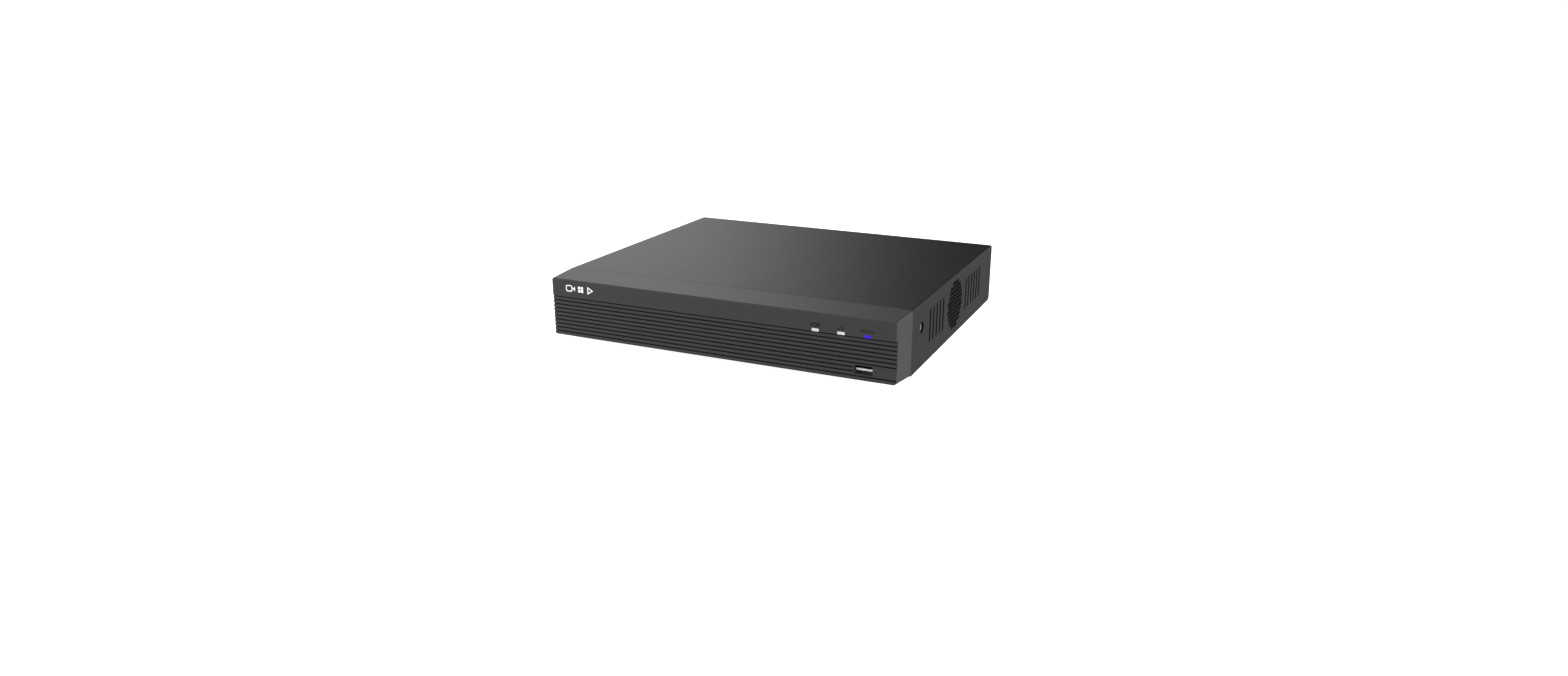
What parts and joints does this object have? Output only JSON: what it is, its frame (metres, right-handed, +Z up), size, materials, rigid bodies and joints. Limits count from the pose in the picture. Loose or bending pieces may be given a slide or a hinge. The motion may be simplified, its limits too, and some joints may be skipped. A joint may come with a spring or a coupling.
{
  "type": "security video recorder",
  "caption": "Compact black 1U security video recorder: ridged front bezel, slide-off vented cover, rear camera and network sockets, hard disk, fan and main board inside.",
  "frame": {"origin": "under the middle of the bounding box, on the plane of the feet's undersides", "axes": "+Z up, -Y out of the front face, +X to the right when seen from the front"},
  "size_m": [0.26, 0.238, 0.0476],
  "materials": {
    "cover_paint": "satin powder coat",
    "tray_steel": "pre-coated sheet: black outside, zinc-plated inside",
    "bracket_steel": "zinc-plated sheet",
    "bezel_plastic": "fine moulded texture",
    "rubber": "matte",
    "zinc_fasteners": "bright zinc",
    "light_pipe_white": "clear, lit white",
    "light_pipe_blue": "clear, lit blue",
    "led_package": "moulded",
    "circuit_board": "solder mask",
    "disk_board": "solder mask",
    "chip_package": "moulded",
    "button_plunger": "moulded",
    "heatsink": "anodised",
    "ferrite": "ferrite grey",
    "capacitor_can": "sleeved",
    "coin_cell": "stainless",
    "black_plastic": "moulded",
    "socket_plastic": "natural nylon",
    "display_blue": "moulded",
    "terminal_green": "moulded",
    "connector_plating": "nickel plated",
    "jack_insulator": "moulded",
    "contact_brass": "gold flashed",
    "disk_case": "as cast",
    "disk_lid": "brushed",
    "disk_mirror": "polished",
    "disk_arm": "machined",
    "data_cable": "extruded jacket",
    "black_leads": "extruded jacket"
  },
  "bodies": {
    "chassis": {"base_tray": "tray_steel", "fan_bracket": "bracket_steel", "front_bezel": "bezel_plastic", "rubber_feet": "rubber", "bezel_screws": "zinc_fasteners", "ground_screw": "zinc_fasteners", "board_screws": "zinc_fasteners", "hdd_screws": "zinc_fasteners", "fan_screws": "zinc_fasteners", "board_standoffs": "zinc_fasteners", "vga_jackscrews": "zinc_fasteners", "status_light_pipe": "light_pipe_white", "network_light_pipe": "light_pipe_white", "power_light_pipe": "light_pipe_blue", "front_leds": "led_package", "front_panel_board": "circuit_board", "main_board": "circuit_board", "hdd_circuit_board": "disk_board", "processor_chip": "chip_package", "memory_chips": "chip_package", "buzzer": "chip_package", "reset_button_case": "chip_package", "processor_heatsink": "heatsink", "power_inductors": "ferrite", "filter_capacitors": "capacitor_can", "coin_cell": "coin_cell", "coin_cell_holder": "black_plastic", "bnc_housing": "black_plastic", "rca_housing": "black_plastic", "dc_jack_housing": "black_plastic", "hdmi_tongue": "black_plastic", "rear_usb_tongue": "black_plastic", "fan_frame": "black_plastic", "cable_plugs": "black_plastic", "front_usb_tongue": "socket_plastic", "board_sockets": "socket_plastic", "vga_insulator": "display_blue", "terminal_block": "terminal_green", "bnc_barrels": "connector_plating", "rca_sleeves": "connector_plating", "vga_shell": "connector_plating", "hdmi_shell": "connector_plating", "rear_usb_shell": "connector_plating", "front_usb_shell": "connector_plating", "network_jack": "connector_plating", "dc_jack_pin": "connector_plating", "bnc_insulators": "jack_insulator", "bnc_contacts": "contact_brass", "hdd_casting": "disk_case", "hdd_lid": "disk_lid", "sata_data_cable": "data_cable", "sata_power_cable": "black_leads", "front_panel_cable": "black_leads", "fan_lead": "black_leads"},
    "cover": {"top_cover": "cover_paint", "cover_screws": "zinc_fasteners"},
    "fan_wheel": {"fan_rotor": "black_plastic"},
    "disk_stack": {"hdd_platters": "disk_mirror"},
    "head_arm": {"hdd_actuator": "disk_arm"},
    "reset_plunger": {"reset_button_plunger": "button_plunger"}
  },
  "joints": [
    {"name": "cover_slide", "type": "slide", "parent": "chassis", "child": "cover", "axis": [0, 1, 0], "range_m": [0, 0.205]},
    {"name": "fan_spin", "type": "hinge", "parent": "chassis", "child": "fan_wheel", "pos_m": [0.12, 0.00535, 0.0263], "axis": [1, 0, 0], "continuous": true},
    {"name": "disk_spin", "type": "hinge", "parent": "chassis", "child": "disk_stack", "pos_m": [-0.068, -0.0372, 0.02], "axis": [0, 0, 1], "continuous": true},
    {"name": "head_arm_swing", "type": "hinge", "parent": "chassis", "child": "head_arm", "pos_m": [-0.02, -0.014, 0.02], "axis": [0, 0, -1], "range_deg": [0, 32]},
    {"name": "reset_press", "type": "slide", "parent": "chassis", "child": "reset_plunger", "axis": [0, 0, -1], "range_m": [0, 0.00025], "stiffness_N_per_m": 8000, "springref_m": -0.00005}
  ]
}
